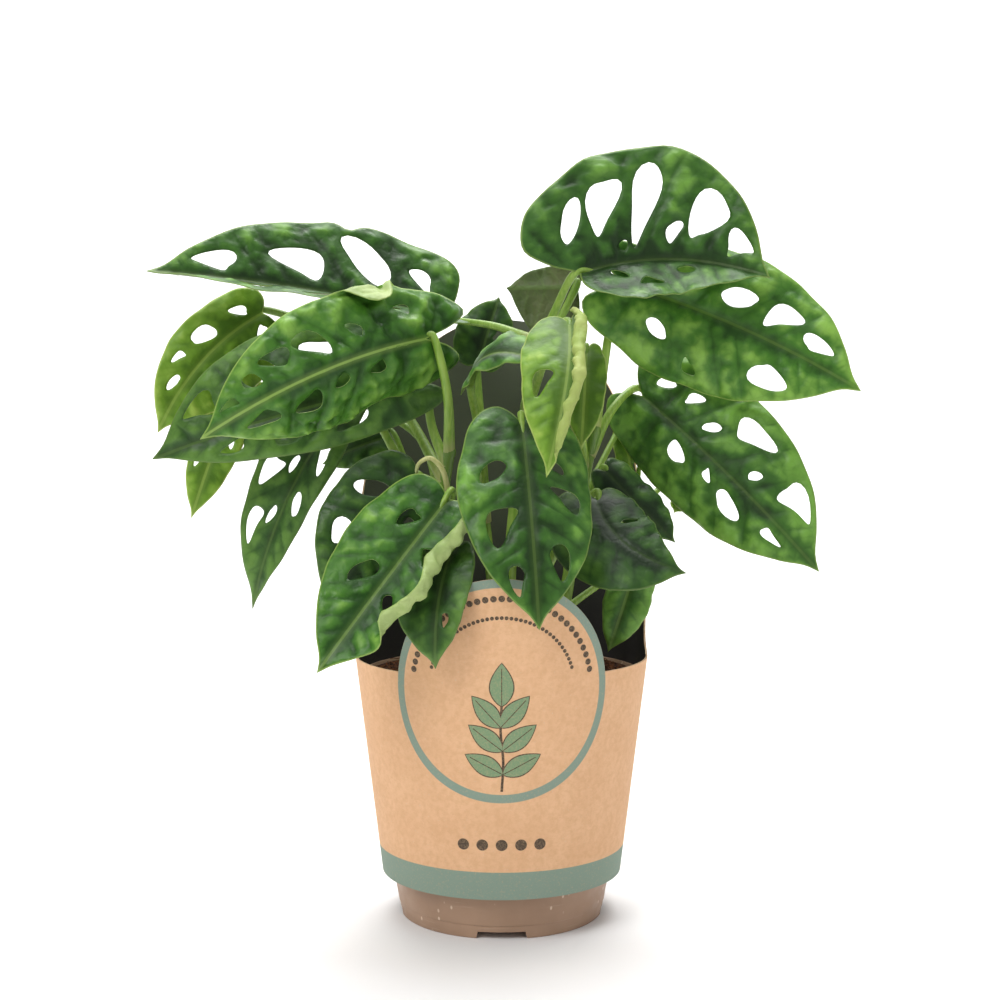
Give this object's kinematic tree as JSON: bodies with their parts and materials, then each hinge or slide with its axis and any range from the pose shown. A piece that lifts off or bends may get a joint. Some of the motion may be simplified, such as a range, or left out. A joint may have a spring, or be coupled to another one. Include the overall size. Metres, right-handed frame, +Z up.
{
  "type": "potted monstera adansonii",
  "caption": "Swiss cheese vine with holed leaves on short vines, planted in soil in a round nursery pot that wears a board sleeve with a round ear in front and a tall back.",
  "frame": {"origin": "on the floor, at the middle of the overall box and of the pot's foot", "axes": "+Z up, the sleeve's round ear and the front of the plant towards -Y, +X to the right as seen from the front"},
  "size_m": [0.2952, 0.1575, 0.3196],
  "materials": {
    "pot_plastic": "taupe recycled plastic with small light flecks, satin",
    "soil": null,
    "sleeve_board": "uncoated kraft board with sage green print, matt; board is wood fibre",
    "stem_green": null,
    "leaf_green": "living leaf, mid green, satin with impressed veins",
    "leaf_dark": "living leaf, dark green, satin with impressed veins",
    "leaf_bright": "living leaf, bright green, satin with impressed veins",
    "leaf_young": "young living leaf, yellow-green, satin"
  },
  "bodies": {
    "root": {"pot": "pot_plastic", "soil": "soil", "sleeve": "sleeve_board", "vine_crown": "stem_green", "vine_left": "stem_green", "vine_front_left": "stem_green", "vine_right": "stem_green", "vine_front_right": "stem_green", "vine_back": "stem_green", "leaf_crown_left": "leaf_green", "leaf_crown_right": "leaf_green", "leaf_crown_back": "leaf_dark", "leaf_crown_young": "leaf_young", "leaf_left_bright": "leaf_bright", "leaf_left_dark": "leaf_dark", "leaf_left_far": "leaf_young", "leaf_left_small": "leaf_young", "leaf_left_hanging": "leaf_dark", "leaf_left_inner": "leaf_dark", "leaf_front_left": "leaf_bright", "leaf_front_left_dark": "leaf_dark", "leaf_front_low": "leaf_dark", "leaf_front_centre": "leaf_green", "leaf_right_bright": "leaf_bright", "leaf_right_hanging": "leaf_green", "leaf_right_olive": "leaf_young", "leaf_right_small": "leaf_young", "leaf_right_mid": "leaf_dark", "leaf_right_rolled": "leaf_young", "leaf_low_right": "leaf_dark", "leaf_soil_right": "leaf_green", "leaf_back_upright": "leaf_dark", "leaf_centre_arched": "leaf_green"}
  },
  "joints": []
}
